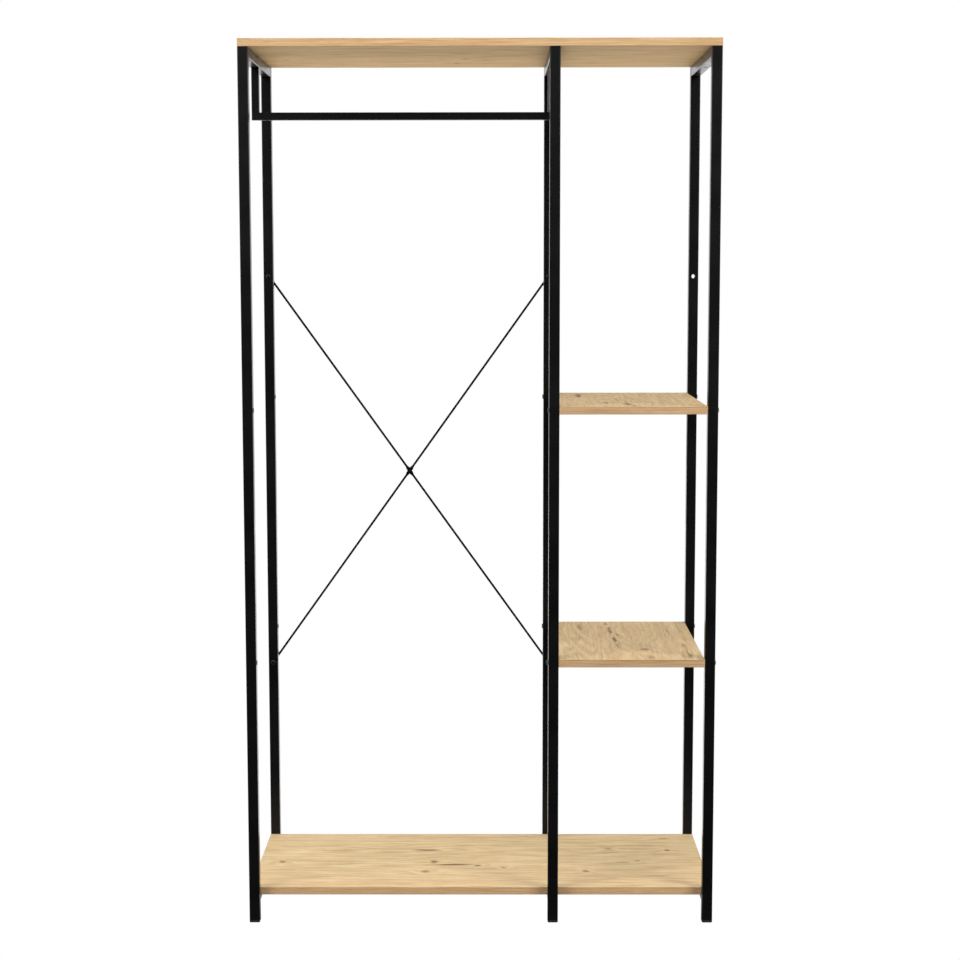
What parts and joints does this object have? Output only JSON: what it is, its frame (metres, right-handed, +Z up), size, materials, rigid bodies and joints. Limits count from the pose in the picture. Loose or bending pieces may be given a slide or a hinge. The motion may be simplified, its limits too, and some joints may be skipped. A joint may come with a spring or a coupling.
{
  "type": "clothes rack",
  "caption": "Open clothes rack of black square tube with an oak-look top board and bottom shelf, a hanging rail in the wide bay, shelves in the narrow bay and a crossed rod brace.",
  "frame": {"origin": "on the floor, below the middle of the posts' footprint", "axes": "+Z up, -Y to the front, +X to the side with the narrow bay and its shelves"},
  "size_m": [0.902, 0.4087, 1.69],
  "materials": {
    "frame_coat": "semi-gloss black powder coat on steel tube",
    "oak_board": "matt oak decor on particle board",
    "oak_edge": "oak-coloured edge band",
    "bolt_black": "black oxide steel, slightly glossy",
    "zinc": "zinc-plated steel",
    "cap_plastic": "fine-grained black plastic"
  },
  "bodies": {
    "root": {"left_front_post": "frame_coat", "left_rear_post": "frame_coat", "left_top_cross_tube": "frame_coat", "left_lower_cross_tube": "frame_coat", "middle_front_post": "frame_coat", "middle_rear_post": "frame_coat", "middle_top_cross_tube": "frame_coat", "middle_lower_cross_tube": "frame_coat", "right_front_post": "frame_coat", "right_rear_post": "frame_coat", "right_top_cross_tube": "frame_coat", "right_lower_cross_tube": "frame_coat", "hanging_rail": "frame_coat", "left_rail_drop": "frame_coat", "right_rail_drop": "frame_coat", "falling_brace_rod": "frame_coat", "rising_brace_rod": "frame_coat", "top_board": "oak_board", "bottom_shelf": "oak_board", "upper_side_shelf": "oak_board", "lower_side_shelf": "oak_board", "top_board_edge_bands": "oak_edge", "bottom_shelf_edge_bands": "oak_edge", "upper_side_shelf_edge_bands": "oak_edge", "lower_side_shelf_edge_bands": "oak_edge", "side_shelf_bolts": "bolt_black", "brace_corner_bolts": "bolt_black", "brace_corner_nuts": "bolt_black", "brace_centre_screw": "bolt_black", "brace_centre_nut": "bolt_black", "rail_bolts": "zinc", "rail_nut_plates": "zinc", "top_board_screws": "zinc", "bottom_shelf_screws": "zinc", "hole_plugs": "cap_plastic", "foot_caps": "cap_plastic"}
  },
  "joints": []
}
